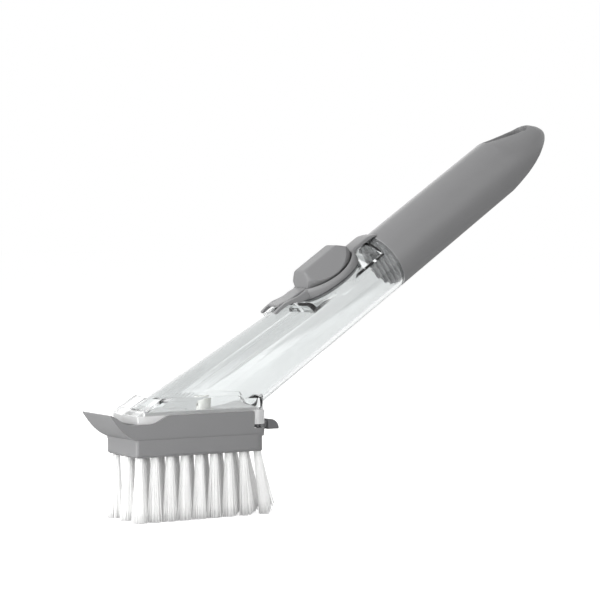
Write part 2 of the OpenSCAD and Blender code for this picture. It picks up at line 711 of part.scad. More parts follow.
// Two thin feet that lie on the tank beside the tongue
module prongs() for (y = [-1, 1]) translate([0, y * prong_y, 0]) side_prism(concat(
    [[cap_front + prong_root[0], tube_r + prong_root[1]]],
    [for (p = prong_line) [prong_tip + p[0], tube_r + p[1]]],
    [[deck_front[0] - 0.4, tube_r + prong_root[2]], [cap_front + prong_root[0], tube_r + prong_root[2]]]), prong_w / 2);

// Soft strap from the cap's lug into the grip's rim
module cap_strap() color([0.52, 0.52, 0.53]) at_tube() intersection() {
    side_prism([[lug_s, crown_n - strap_h - 0.4], [-6, crown_n - strap_h], [-5, tube_r + 0.12],
        [0, tube_r + 0.12], [0.05, neck_r + 0.05], [strap_end, neck_r + 0.05], [strap_end, tube_r + 0.1],
        [0.6, tube_r + 1], [-2, crown_n - 0.2], [-3.4, crown_n], [lug_s, crown_n]], strap_half);
    crown_space();
}

// Oval skirt under the cap that enters the collar and carries the diaphragm
module cap_liner() color([0.6, 0.6, 0.61]) at_tube() translate([cap_s, 0, 0]) difference() {
    oval(liner_a, liner_b, liner_n, frame_n);
    oval(well_a, well_b, ledge_n, frame_n + 1);
    oval(well_a - ledge_w, well_b - ledge_w, liner_n - 1, frame_n + 1);
}

// Silicone diaphragm that lies on the ledge
module pump_diaphragm() color([0.85, 0.85, 0.84]) at_tube() translate([cap_s, 0, 0])
    oval(well_a - 0.05, well_b - 0.05, ledge_n, ledge_n + skin_h);

// Keeps what lies under a plane through p that falls away towards azimuth az
module under(p, az, slope) translate(p) rotate([0, 0, az]) rotate([0, slope, 0])
    span([-far, -far, -far], [far, far, 0]);

// Faceted thumb pad
module press_pad() color([0.6, 0.6, 0.61]) at_tube() intersection() {
    translate([pad_s, 0, 0]) oval(pad_a, pad_b, pad_n, roof_n);
    under([0, roof_half, roof_n], 90, side_slope);
    under([0, -roof_half, roof_n], -90, side_slope);
    under([roof_s[0], 0, roof_n], 180, front_slope);
    under([roof_s[1], 0, roof_n], 0, rear_slope);
    under([roof_s[0], roof_half, roof_n], 180 - corner_turn, corner_slope);
    under([roof_s[0], -roof_half, roof_n], 180 + corner_turn, corner_slope);
}

// Hard core that carries the pad and pushes the diaphragm
module pad_core() color([0.5, 0.5, 0.51]) at_tube() translate([cap_s, 0, 0]) union() {
    oval(core_a, core_b, pad_n - core_h, pad_n);
    oval(core_a - core_step, core_b - core_step, ledge_n + skin_h + 0.05, pad_n - core_h + 0.2);
}

// Side outline of the tray with the scraper lip and the finger dip
function lip_line(out) = [for (t = [0:0.125:1]) [-lip_reach * pow(t, 0.9) + out * 1.4 * (1 - t * 0.45),
    floor_z + (lip_top - floor_z - 0.3) * t - lip_bulge * sin(180 * t) + out * (1 - t)]];
tray_side = concat([[head_len - 0.2, floor_z - 1], [0, floor_z - 1]], lip_line(0),
    [[-lip_reach + 0.4, lip_top], [-lip_back[0], lip_back[1]]],
    [for (t = [0.2:0.2:1]) [-lip_back[0] + (dip_front + lip_back[0]) * t,
        dip_z + (lip_back[1] - dip_z) * pow(1 - t, 1.7)]],
    [for (t = [0:0.125:1]) [dip_rear + (dip_end - dip_rear) * t, dip_z + (rim_z - dip_z) * (1 - cos(180 * t)) / 2]],
    [[tray_rear, rim_z], [tray_rear, floor_z + tray_slant], [head_len - 0.2, floor_z]]);

// Block, tray, scraper lip, latch guides and soap socket in one moulding
module brush_head() color([0.55, 0.55, 0.56]) at_head() difference() {
    union() {
        block_body();
        difference() {
            intersection() {
                side_prism(tray_side, tray_half);
                head_plan(-lip_reach - 5, tray_rear, tray_half, 1, rear_round - tray_inset,
                    floor_z - 1, lip_top + 1);
            }
            head_plan(tray_wall, tray_rear - tray_wall, tray_in, 1, rear_round - 2, floor_z, lip_top + 5);
            intersection() {
                side_prism(concat(lip_line(lip_wall), [[-lip_reach, lip_top + 2], [5, lip_top + 2],
                    [5, floor_z + lip_wall]]), tray_in);
                span([-20, -20, floor_z], [0, 20, lip_top + 3]);
            }
        }
        translate([outlet_x, 0, floor_z - 1]) cylinder(r = socket_r + socket_wall, h = socket_z - floor_z + 1);
        latch_rails();
    }
    translate([outlet_x, 0, floor_z]) cylinder(r = socket_r, h = socket_z);
    translate([outlet_x, 0, block_z - 1]) cylinder(r = port_r, h = 20);
    for (y = [-1, 1]) span([arm_front, min(y * arm_inner, y * 16), notch_z],
        [tray_rear + 1, max(y * arm_inner, y * 16), rim_z + 1]);
    span([leg_front, -neck_half - latch_gap, latch_z - 1.3], [tray_rear + 2, neck_half + latch_gap, latch_z + latch_h + 0.8]);
    for (r = [0:rows - 1]) row_strip(r);
    anchors();
}

// Block with a bevelled lower edge
module block_body() intersection() {
    head_plan(0, head_len, head_wid / 2, front_round, rear_round, block_z, floor_z);
    side_prism([[block_bevel, block_z], [head_len - block_bevel, block_z], [head_len + 0.1, block_z + block_bevel + 0.1],
        [head_len + 0.1, floor_z + 1], [-0.1, floor_z + 1], [-0.1, block_z + block_bevel + 0.1]], head_wid);
    rotate([90, 0, 90]) linear_extrude(head_len) polygon([[block_bevel - head_wid / 2, block_z],
        [head_wid / 2 - block_bevel, block_z], [head_wid / 2 + 0.1, block_z + block_bevel + 0.1],
        [head_wid / 2 + 0.1, floor_z + 1], [-head_wid / 2 - 0.1, floor_z + 1],
        [-head_wid / 2 - 0.1, block_z + block_bevel + 0.1]]);
}

// Rails that guide the latch, with a lip over its spine
module latch_rails() for (y = [-1, 1]) {
    a = spine_half + latch_gap;
    span([spine_front - 2.4, min(y * a, y * (a + rail_wall)), floor_z - 1],
        [leg_front - foot_reach - 1, max(y * a, y * (a + rail_wall)), latch_z + latch_h + 1.3]);
    span([spine_front - 2.4, min(y * (a - 1.5), y * a), latch_z + latch_h + latch_gap],
        [leg_front - foot_reach - 1, max(y * (a - 1.5), y * a), latch_z + latch_h + 1.3]);
    span([spine_front - 2.4, min(y * (a - 1.5), y * a), floor_z - 1],
        [leg_front - foot_reach - 1, max(y * (a - 1.5), y * a), latch_z - latch_gap + 0.15]);
}

function row_y(r) = (r - (rows - 1) / 2) * row_step;
function row_tufts(r) = tufts_long - r % 2;
function tuft_x(r, k) = tuft_first + (r % 2) * tuft_step / 2 + k * tuft_step;
function tuft_free(r, k) = norm([tuft_x(r, k) - outlet_x, row_y(r)]) > port_r + strip_half;
function lean(x) = pow(max(0, (x - head_len + lean_end + lean_len) / lean_len), 2);

// Slice of backing that carries one row, parted round the soap port
module row_strip(r) difference() {
    span([tuft_first - strip_half, row_y(r) - strip_half, block_z - 0.001],
        [head_len - tuft_first + strip_half, row_y(r) + strip_half, block_z + strip_h]);
    if (abs(row_y(r)) < 1) translate([outlet_x, 0, block_z - 1]) cylinder(r = port_r + 0.8, h = strip_h + 3);
}

// One strand: a three-sided rod from its root in the strip to a flat tip
module strand(base, tip, turn) {
    tri = [for (k = [0:2]) strand_r * [cos(turn + 120 * k), sin(turn + 120 * k), 0]];
    polyhedron(points = concat([for (c = tri) base + c], [for (c = tri) tip + c]),
        faces = [[0, 2, 1], [3, 4, 5], [0, 4, 3], [0, 1, 4], [1, 5, 4], [1, 2, 5], [2, 3, 5], [2, 0, 3]]);
}

// One tuft: a core and a ring of strands that spread towards the tips
module tuft(x, y) {
    b = lean(x);
    for (k = [0:core_strands + ring_strands - 1]) {
        inner = k < core_strands;
        a = inner ? 30 + 360 / core_strands * k : 360 / ring_strands * (k - core_strands);
        rb = inner ? core_base : ring_base;
        rt = inner ? core_tip : ring_tip;
        lift = b * rear_lift * max(0, cos(a)) * rt / ring_tip;
        strand([x + rb * cos(a), y + rb * sin(a), block_z + strand_root],
            [x + rear_lean * b + rt * cos(a), y + rt * sin(a), lift], a);
    }
}

// A row of tufts on its slice of backing
module bristle_row(r) color([0.95, 0.95, 0.94]) at_head() union() {
    difference() {
        row_strip(r);
        span([-head_wid, -head_wid, block_z - 1], [head_len + head_wid, head_wid, block_z]);
    }
    for (k = [0:row_tufts(r) - 1]) if (tuft_free(r, k)) tuft(tuft_x(r, k), row_y(r));
}

module bristles_row_1() bristle_row(0);
module bristles_row_2() bristle_row(1);
module bristles_row_3() bristle_row(2);
module bristles_row_4() bristle_row(3);
module bristles_row_5() bristle_row(4);

// Steel staples above the tufts
module anchors() for (r = [0:rows - 1], k = [0:row_tufts(r) - 1]) if (tuft_free(r, k))
    translate([tuft_x(r, k) - anchor_size[0] / 2, row_y(r) - anchor_size[1] / 2, block_z + strip_h])
        cube(anchor_size);

module tuft_anchors() color([0.75, 0.75, 0.77]) at_head() anchors();

// Sliding latch with its thumb tab
module release_latch() color([0.36, 0.36, 0.37]) at_head() union() {
    span([spine_front, -spine_half, latch_z], [wing_rear, spine_half, latch_z + latch_h]);
    span([wing_front, -wing_half, latch_z], [wing_rear - 1.4, wing_half, latch_z + latch_h]);
    span([wing_rear - 1.4, -neck_half, latch_z - 0.9], [tab_x[0] + 1, neck_half, latch_z + latch_h + 0.4]);
    intersection() {
        span([tab_x[0], -tab_half, tab_z[0]], [tab_x[1], tab_half, tab_z[1]]);
        union() {
            translate([tab_x[1] - 4.8, 20, tab_z[0]]) rotate([90, 0, 0]) cylinder(r = tab_z[1] - tab_z[0], h = 40);
            span([tab_x[0], -tab_half, tab_z[0]], [tab_x[1] - 4.8, tab_half, tab_z[1]]);
        }
    }
    for (y = [-1, 1]) span([leg_front - 0.2, min(y * 6, y * 7.6), floor_z + 0.5],
        [leg_front + 1.2, max(y * 6, y * 7.6), latch_z + 0.2]);
}

// Level path of the catch spring, from one hook foot round its post to the other
wire_x = leg_front - foot_reach / 2;
wire_path = [[wire_x, -12.2], [wire_x, -8.4], [wire_x - 0.6, -7.2], [leg_front - loop_back[0], -2.6],
    [leg_front - loop_back[1], -1.2], [leg_front - loop_back[1], 1.2], [leg_front - loop_back[0], 2.6],
    [wire_x - 0.6, 7.2], [wire_x, 8.4], [wire_x, 12.2]];

// Bent wire that returns the latch and reaches over both hook feet, in triangles
module catch_spring() color([0.78, 0.79, 0.8]) at_head() translate([0, 0, latch_z - 0.1 - wire_r]) {
    n = len(wire_path);
    m = 12;
    points = [for (i = [0:n - 1]) let (
        u = wire_path[min(i + 1, n - 1)] - wire_path[min(i, n - 2)], v = wire_path[max(i, 1)] - wire_path[max(i - 1, 0)],
        t = u / norm(u) + v / norm(v), side = [-t[1], t[0]] / norm(t), wide = wire_r / (norm(t) / 2))
        each [for (k = [0:m - 1]) [wire_path[i][0] + wide * side[0] * cos(30 * k),
            wire_path[i][1] + wide * side[1] * cos(30 * k), wire_r * sin(30 * k)]]];
    polyhedron(points = points, faces = concat([[for (k = [0:m - 1]) k]],
        [[for (k = [m - 1:-1:0]) (n - 1) * m + k]],
        [for (i = [0:n - 2], k = [0:m - 1]) [i * m + k, (i + 1) * m + k, i * m + (k + 1) % m]],
        [for (i = [0:n - 2], k = [0:m - 1]) [i * m + (k + 1) % m, (i + 1) * m + k, (i + 1) * m + (k + 1) % m]]));
}

reservoir();
base_plate();
outlet_valve();
valve_ring();
pipe_seal();
handle();
handle_plug();
plug_seal();
fill_gasket();
cap_frame();
cap_strap();
cap_liner();
pump_diaphragm();
press_pad();
pad_core();
brush_head();
bristles_row_1();
bristles_row_2();
bristles_row_3();
bristles_row_4();
bristles_row_5();
tuft_anchors();
release_latch();
catch_spring();
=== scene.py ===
import math
import bmesh
import bpy
import numpy as np
from mathutils import Matrix, Vector


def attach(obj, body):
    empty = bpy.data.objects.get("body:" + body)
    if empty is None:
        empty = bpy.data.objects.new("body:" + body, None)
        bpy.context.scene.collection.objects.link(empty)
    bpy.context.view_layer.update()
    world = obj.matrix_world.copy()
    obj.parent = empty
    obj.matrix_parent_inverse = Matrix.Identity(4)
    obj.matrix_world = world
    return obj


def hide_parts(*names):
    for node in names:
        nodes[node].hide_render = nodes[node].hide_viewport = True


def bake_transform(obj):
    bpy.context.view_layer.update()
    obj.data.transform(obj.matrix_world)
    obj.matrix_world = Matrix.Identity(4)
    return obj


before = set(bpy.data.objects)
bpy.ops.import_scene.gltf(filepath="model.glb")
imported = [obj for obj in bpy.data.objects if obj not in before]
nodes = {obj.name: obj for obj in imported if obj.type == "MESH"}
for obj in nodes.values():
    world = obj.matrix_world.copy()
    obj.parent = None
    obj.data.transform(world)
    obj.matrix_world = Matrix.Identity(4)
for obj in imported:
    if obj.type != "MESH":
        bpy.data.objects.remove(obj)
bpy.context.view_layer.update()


# Camera.
# The photograph looks along the wand's near side, turned 32 degrees towards the lip and tipped
# down 2 degrees, from about a metre away with a long lens.
camera_place = (-0.58313, -0.9005, 0.1375)
camera_aim = Vector((0.5296, 0.8475, -0.0349))
camera = bpy.data.objects.new("photo_camera", bpy.data.cameras.new("photo_camera"))
camera.data.sensor_width = 36.0
camera.data.lens = 132.0
camera.data.clip_end = 50.0
camera.location = camera_place
camera.rotation_euler = camera_aim.to_track_quat("-Z", "Y").to_euler()
bpy.context.scene.collection.objects.link(camera)
bpy.context.scene.camera = camera
bpy.context.scene.view_settings.view_transform = "Standard"


# Floor and studio light.
# A white sweep, with a large soft lamp high on the lip's side, one by the camera, one behind, and
# two small cards low at the head. Floor and world are white to the lens, and the floor keeps the
# shadow. The lamps aren't seen themselves, straight on or through the tank.
def linear(hex_colour):
    """sRGB hex to linear RGBA: c/12.92 below 0.04045, else ((c + 0.055)/1.055) to the power 2.4."""
    c = np.array([int(hex_colour[i:i + 2], 16) / 255 for i in (1, 3, 5)])
    return (*np.where(c <= 0.04045, c / 12.92, ((c + 0.055) / 1.055) ** 2.4).tolist(), 1.0)


def add(tree, kind, sockets=None, **settings):
    """One node of a kind, with its settings, and each named socket set to a value or linked to an output."""
    made = tree.nodes.new(kind)
    for name, value in settings.items():
        setattr(made, name, value)
    for name, value in (sockets or {}).items():
        if isinstance(value, bpy.types.NodeSocket):
            tree.links.new(value, made.inputs[name])
        else:
            made.inputs[name].default_value = value
    return made


def either(tree, first, second):
    """1 for a ray that is of the first kind or of the second, and 0 for any other."""
    return add(tree, "ShaderNodeMath", {0: first, 1: second}, operation="MAXIMUM").outputs[0]


def new_material(name):
    """An empty node material of that name, with its tree."""
    material = bpy.data.materials.new(name)
    material.use_nodes = True
    material.node_tree.nodes.clear()
    return material, material.node_tree


def piece_from(name, verts, faces, smooth=True):
    """A linked mesh object from metres and faces, quads or triangles."""
    mesh = bpy.data.meshes.new(name)
    mesh.from_pydata(verts.tolist(), [], faces.tolist())
    mesh.polygons.foreach_set("use_smooth", np.full(len(mesh.polygons), smooth))
    mesh.update()
    made = bpy.data.objects.new(name, mesh)
    bpy.context.scene.collection.objects.link(made)
    return made


floor_half = 8.0
floor_corners = floor_half * np.array([[-1, -1, 0], [1, -1, 0], [1, 1, 0], [-1, 1, 0]])
floor = piece_from("studio_floor", floor_corners, np.array([[0, 1, 2, 3]]))
# Paper: matt and even. The lens sees it lit up to white; other rays see it as it is.
floor_paint, tree = new_material("matt white studio paper")
paper = add(tree, "ShaderNodeBsdfDiffuse", {"Color": linear("#f4f4f4")})
glow = add(tree, "ShaderNodeEmission", {"Color": (1, 1, 1, 1), "Strength": 0.62})
lit = add(tree, "ShaderNodeAddShader", {0: paper.outputs[0], 1: glow.outputs[0]})
shaded = add(tree, "ShaderNodeBsdfDiffuse", {"Color": linear("#cfcfcf")})
ray = add(tree, "ShaderNodeLightPath")
to_lens = either(tree, ray.outputs["Is Camera Ray"], ray.outputs["Is Transmission Ray"])
which = add(tree, "ShaderNodeMixShader", {0: to_lens, 1: shaded.outputs[0], 2: lit.outputs[0]})
add(tree, "ShaderNodeOutputMaterial", {"Surface": which.outputs[0]})
floor.data.materials.append(floor_paint)

world = bpy.data.worlds.new("white_room")
world.use_nodes = True
bpy.context.scene.world = world
tree = world.node_tree
tree.nodes.clear()
ray = add(tree, "ShaderNodeLightPath")
seen = either(tree, ray.outputs["Is Camera Ray"], ray.outputs["Is Glossy Ray"])
seen = either(tree, seen, ray.outputs["Is Transmission Ray"])
room = add(tree, "ShaderNodeBackground", {"Color": (1, 1, 1, 1), "Strength": 0.42})
white = add(tree, "ShaderNodeBackground", {"Color": (1, 1, 1, 1), "Strength": 1.0})
which = add(tree, "ShaderNodeMixShader", {0: seen, 1: room.outputs[0], 2: white.outputs[0]})
add(tree, "ShaderNodeOutputWorld", {"Surface": which.outputs[0]})

lamp_aim = Vector((0, 0, 0.1))
for lamp_name, place, size, watts in (("key_softbox", (-0.75, 0.25, 1.05), 0.6, 6.0),
                                      ("lip_card", (-0.5, -0.06, 0.07), 0.22, 1.7),
                                      ("front_card", (-0.33, -0.42, 0.03), 0.3, 1.2),
                                      ("fill_softbox", (0.3, -1.1, 0.5), 0.8, 2.7),
                                      ("back_softbox", (0.25, 1.1, 0.45), 0.8, 3.0)):
    lamp = bpy.data.objects.new(lamp_name, bpy.data.lights.new(lamp_name, "AREA"))
    lamp.data.size = size
    lamp.data.energy = watts
    lamp.location = place
    lamp.visible_camera = lamp.visible_transmission = False
    lamp.rotation_euler = (lamp_aim - Vector(place)).to_track_quat("-Z", "Y").to_euler()
    bpy.context.scene.collection.objects.link(lamp)


# Clear tank.
# One injection moulding in clear SAN, 2 mm thick: a round tube that flares to the base, with the
# filling collar on its flat deck and a spigot and two corner arms that drop into the head.
def keep_sharp(work, sharp_degrees):
    """Smooth faces, with the edges above an angle, and the open ones, kept sharp."""
    for face in work.faces:
        face.smooth = True
    limit = math.radians(sharp_degrees)
    for edge in work.edges:
        edge.smooth = len(edge.link_faces) == 2 and edge.calc_face_angle(math.pi) < limit


def merged_copy(node, name, sharp_degrees, touching=2e-6):
    """A copy of a CAD node's mesh with its touching corners merged, smooth but for its sharp edges."""
    mesh = nodes[node].data.copy()
    mesh.name = name
    work = bmesh.new()
    work.from_mesh(mesh)
    bmesh.ops.remove_doubles(work, verts=work.verts, dist=touching)
    bmesh.ops.dissolve_degenerate(work, edges=work.edges, dist=touching)
    bmesh.ops.recalc_face_normals(work, faces=work.faces)
    keep_sharp(work, sharp_degrees)
    work.to_mesh(mesh)
    work.free()
    mesh.materials.clear()
    made = bpy.data.objects.new(name, mesh)
    bpy.context.scene.collection.objects.link(made)
    return made


def noise(tree, grain_mm, detail):
    """Noise over the piece's own coordinates, with a grain of that many millimetres."""
    place = add(tree, "ShaderNodeTexCoord")
    made = add(tree, "ShaderNodeTexNoise", {"Vector": place.outputs["Object"], "Scale": 1000 / grain_mm,
                                            "Detail": detail})
    return made.outputs["Fac"]


def let_through(tree, surface, share):
    """The surface on the output, with a share of the lamps' light passed to what lies inside or behind."""
    ray = add(tree, "ShaderNodeLightPath")
    part = add(tree, "ShaderNodeMath", {0: ray.outputs["Is Shadow Ray"], 1: share}, operation="MULTIPLY")
    clear = add(tree, "ShaderNodeBsdfTransparent", {"Color": (1, 1, 1, 1)})
    mix = add(tree, "ShaderNodeMixShader", {0: part.outputs[0], 1: surface.outputs[0], 2: clear.outputs[0]})
    add(tree, "ShaderNodeOutputMaterial", {"Surface": mix.outputs[0]})


# Clear SAN, injection moulded and polished: almost colourless, with very slight flow waves.
clear_san, tree = new_material("clear SAN moulding")
wave = add(tree, "ShaderNodeBump", {"Height": noise(tree, 14.0, 1.0), "Strength": 0.05, "Distance": 0.0004})
plastic = add(tree, "ShaderNodeBsdfPrincipled", {
    "Base Color": linear("#e4e6e6"), "Roughness": 0.03, "IOR": 1.45, "Transmission Weight": 1.0,
    "Normal": wave.outputs["Normal"]})
let_through(tree, plastic, 0.9)

# The same SAN where the base is ultrasonically welded: frosted, so that the tray behind it reads
# as a soft grey.
hazed_san, tree = new_material("frosted SAN at the weld")
rough = add(tree, "ShaderNodeMapRange", {"Value": noise(tree, 3.0, 2.0), "To Min": 0.3, "To Max": 0.5})
plastic = add(tree, "ShaderNodeBsdfPrincipled", {
    "Base Color": linear("#eeeeee"), "Roughness": rough.outputs["Result"], "IOR": 1.45,
    "Transmission Weight": 0.45})
let_through(tree, plastic, 0.6)

tank = merged_copy("reservoir", "clear_tank", 28)
tank.data.materials.append(clear_san)
tank.data.materials.append(hazed_san)
# What is below the shoulder is frosted: spigot, corner arms and hook legs.
shoulder_z = 0.0497
for face in tank.data.polygons:
    face.material_index = int(face.center.z < shoulder_z)
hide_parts("reservoir")
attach(tank, "wand")

plate = merged_copy("base_plate", "clear_base_plate", 28)
plate.data.materials.append(hazed_san)
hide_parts("base_plate")
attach(plate, "wand")


# Outlet valve, its ring, and the rubber seals.
# A translucent silicone slit valve under a white acetal ring, with black nitrile rings on the
# pipe, the plug and the filling collar; each is the CAD solid with its real finish.
def two_tone(tree, factor, first, second):
    """A colour between two linear colours, by a factor of 0 to 1."""
    made = add(tree, "ShaderNodeMix", {"Factor": factor}, data_type="RGBA")
    made.inputs[6].default_value = first
    made.inputs[7].default_value = second
    return made.outputs[2]


def moulded(name, colour, roughness, grain_mm, depth_mm, tone=0.04, sheen=0.0, cloud_mm=22.0):
    """A moulded plastic or rubber: even colour with a faint cloud, and a fine eroded grain from the mould."""
    material, tree = new_material(name)
    cloud = noise(tree, cloud_mm, 2.0)
    base = linear(colour)
    shade = two_tone(tree, cloud, (*[c * (1 - tone) for c in base[:3]], 1.0),
                     (*[min(c * (1 + tone), 1.0) for c in base[:3]], 1.0))
    relief = add(tree, "ShaderNodeBump", {"Height": noise(tree, grain_mm, 3.0), "Strength": 0.35,
                                          "Distance": depth_mm / 1000})
    rough = add(tree, "ShaderNodeMapRange", {"Value": cloud, "To Min": roughness - 0.03,
                                             "To Max": roughness + 0.04})
    skin = add(tree, "ShaderNodeBsdfPrincipled", {
        "Base Color": shade, "Roughness": rough.outputs["Result"], "IOR": 1.49,
        "Sheen Weight": sheen, "Normal": relief.outputs["Normal"]})
    add(tree, "ShaderNodeOutputMaterial", {"Surface": skin.outputs[0]})
    return material


def finish_nodes(finish, *names):
    """Gives CAD nodes that are shown as they are their real finish."""
    for name in names:
        nodes[name].data.materials.clear()
        nodes[name].data.materials.append(finish)


# Silicone rubber, moulded: milky and soft-looking, with a dull sheen.
milky_silicone = moulded("milky silicone rubber", "#d9d9d6", 0.5, 0.5, 0.01, sheen=0.1)
finish_nodes(milky_silicone, "outlet_valve", "pump_diaphragm")
# Acetal, moulded: waxy white.
white_acetal = moulded("white acetal", "#d8d8d4", 0.35, 0.6, 0.005)
finish_nodes(white_acetal, "valve_ring")
# Nitrile rubber, moulded: black, soft highlight.
black_nitrile = moulded("black nitrile rubber", "#404143", 0.55, 0.4, 0.01)
finish_nodes(black_nitrile, "pipe_seal", "plug_seal", "fill_gasket")


# Grip.
# One hollow moulding in grey polypropylene with a satin eroded skin. Its end slopes on top to a
# blunt nose, with a drop-shaped scoop round the hang hole, and its rim closes on the tank.
tilt = math.radians(34.13)
# Middle of the wand's length, and the grip's rim, in millimetres from the front of the tufted block.
middle_x = 117.4313
rim_x, rim_z = 144.8636 - middle_x, 118.3802


def from_tube(s, y, n):
    """Tube millimetres to metres in the row frame: a turn by the tilt, then the rim's place.
    s runs along the tube from the rim, y across it, and n up from its axis."""
    s, y, n = np.broadcast_arrays(s, y, n)
    return np.stack([rim_x + s * math.cos(tilt) - n * math.sin(tilt), y,
                     rim_z + s * math.sin(tilt) + n * math.cos(tilt)], axis=-1) / 1000


def grid_faces(rows, around):
    """Quads of a grid of points, row by row, wrapping round each row."""
    i, j = np.meshgrid(np.arange(rows - 1), np.arange(around), indexing="ij")
    k = (j + 1) % around
    return np.stack([i * around + j, i * around + k, (i + 1) * around + k, (i + 1) * around + j],
                    axis=-1).reshape(-1, 4)


def closed_surface(name, grid, sharp_degrees=None, touching=1e-6):
    """A closed piece from a grid of rings in tube millimetres.
    First and last rings are points, merged; normals point out."""
    rows, around = grid.shape[:2]
    verts = from_tube(grid[..., 0], grid[..., 1], grid[..., 2])
    made = piece_from(name, verts.reshape(-1, 3), grid_faces(rows, around))
    work = bmesh.new()
    work.from_mesh(made.data)
    bmesh.ops.remove_doubles(work, verts=work.verts, dist=touching)
    bmesh.ops.recalc_face_normals(work, faces=work.faces)
    if sharp_degrees:
        keep_sharp(work, sharp_degrees)
    work.to_mesh(made.data)
    work.free()
    return made


def cut(target, cutters):
    """Takes each cutter's space out of the target with an exact boolean, and deletes the cutters."""
    for cutter in cutters:
        step = target.modifiers.new("cut", "BOOLEAN")
        step.operation = "DIFFERENCE"
        step.solver = "EXACT"
        step.object = cutter
        bpy.context.view_layer.update()
        seen_by = bpy.context.evaluated_depsgraph_get()
        done = bpy.data.meshes.new_from_object(target.evaluated_get(seen_by))
        target.modifiers.clear()
        target.data = done
        bpy.data.objects.remove(cutter, do_unlink=True)


def smoothstep(t):
    """3t squared minus 2t cubed, with t held between 0 and 1."""
    t = np.clip(t, 0, 1)
    return t * t * (3 - 2 * t)


grip_len, grip_r, end_start = 118.9, 15.0, 80.0
rim_r, draft = 15.05, 0.0038
# Inside: a blind bore, and a wider socket at the rim for the tank's neck.
bore_r, bore_deep, socket_r, socket_deep, lead_in = 12.4, 82.0, 14.2, 11.9, 0.15
bore_rows = np.array([[bore_deep, 0.0], [bore_deep, 6.0], [bore_deep, bore_r], [60.0, bore_r],
                      [30.0, bore_r], [socket_deep, bore_r], [socket_deep, socket_r], [6.0, socket_r],
                      [0.25, socket_r], [0.0, socket_r + lead_in], [0.0, grip_r - lead_in]])
# Sections are close together where the scoop lies, and closer still towards the nose.
nose_len = 6.6
stations = np.concatenate([np.linspace(0.12, 3, 6), np.linspace(5, end_start, 26),
                           np.linspace(end_start + 1, 112, 110),
                           grip_len - nose_len * np.cos(np.linspace(0.05, math.pi / 2 - 0.01, 44))])
stations = np.unique(np.clip(stations, 0, grip_len))
turn = np.linspace(0, 2 * math.pi, 241)[:-1]
S, T = np.meshgrid(stations, turn, indexing="ij")
# Each section is an ellipse between the end's upper and lower outline, as wide as its plan.
top_edge = np.interp(S, [0, 80, 84, 88, 92, 100, 106, 110, 113, 116, 117.8, 118.9],
                     [40, 16, 15.0, 13.8, 12.6, 10.6, 9.4, 8.6, 7.4, 4.9, 2.6, -1.2])
low_edge = -np.interp(S, [0, 74, 82, 88, 96, 102, 107, 111, 114, 116.5, 118.9],
                      [40, 19, 15.0, 14.1, 12.6, 11.0, 9.3, 7.5, 6.0, 4.2, 1.3])
plan_power, plan_past = 2.4, 0.02
plan_share = np.clip(S - end_start, 0, None) / (grip_len - end_start + plan_past)
plan = grip_r * np.sqrt(np.clip(1 - plan_share ** plan_power, 1e-4, 1))
cone = rim_r - draft * S
above = np.minimum(cone, top_edge)
below = np.minimum(cone, -low_edge)
wide = np.minimum(cone, plan)
middle = (above - below) / 2 * smoothstep((S - end_start) / 20)
tall = np.where(np.sin(T) > 0, above - middle, below + middle)
reach = ((np.abs(np.cos(T)) / wide) ** 2 + (np.abs(np.sin(T)) / tall) ** 2) ** -0.5
Y, N = reach * np.cos(T), middle + reach * np.sin(T)
# The scoop is a drop in plan, from a small tip to a round about the hole, and deepens on the way.
hang_s, hang_r = 106.0, 4.6
drop_r, tip_s, tip_r = 5.6, 85.0, 2.0
scoop_shallow, scoop_more, scoop_wall = 0.9, 2.4, 1.1
along = np.clip((S - tip_s) / (hang_s - tip_s), 0, 1)
half = tip_r + (drop_r - tip_r) * along
from_edge = half - np.hypot(Y, np.maximum(S - hang_s, 0) + np.maximum(tip_s + tip_r - S, 0))
N = N - (scoop_shallow + scoop_more * along) * smoothstep(from_edge / scoop_wall + 0.3) * (N > 0)
# The rim's outer edge is rounded.
rim_round, rim_round_len = 0.2, 0.5
pulled_in = rim_round * np.clip(1 - S / rim_round_len, 0, 1) ** 2
Y, N = Y * (1 - pulled_in / grip_r), N * (1 - pulled_in / grip_r)
bore = np.stack([np.broadcast_to(bore_rows[:, :1], (len(bore_rows), len(turn))),
                 bore_rows[:, 1:] * np.cos(turn), bore_rows[:, 1:] * np.sin(turn)], axis=-1)
outer = np.stack([S, Y, N], axis=-1)
nose_n = -1.25
nose = np.broadcast_to(np.array([grip_len, 0, nose_n]), (1, len(turn), 3))
grip = closed_surface("grey_grip", np.concatenate([bore, outer, nose]))

# The hang hole and the notch for the strap are cut with true shapes.
past = 22.0
ring = np.linspace(0, 2 * math.pi, 97)[:-1]
hole = closed_surface("hole_cutter", np.stack([
    np.stack([hang_s + r * np.cos(ring), r * np.sin(ring), np.full(len(ring), n)], -1)
    for r, n in ((0, -past), (hang_r, -past), (hang_r, past), (0, past))]))
notch_front, notch_rear, notch_half, notch_low, notch_high = -1.0, 2.0, 5.1, 12.6, 18.0
notch_plan = [[notch_front, -notch_half], [notch_rear, -notch_half],
              [notch_rear, notch_half], [notch_front, notch_half]]
corner = np.array([[*point, n] for n in (notch_low, notch_high) for point in notch_plan])
box_faces = np.array([[0, 3, 2, 1], [4, 5, 6, 7], [0, 1, 5, 4], [1, 2, 6, 5], [2, 3, 7, 6], [3, 0, 4, 7]])
notch = piece_from("notch_cutter", from_tube(corner[:, 0], corner[:, 1], corner[:, 2]), box_faces,
                   smooth=False)
cut(grip, [hole, notch])
work = bmesh.new()
work.from_mesh(grip.data)
keep_sharp(work, 40)
work.to_mesh(grip.data)
work.free()

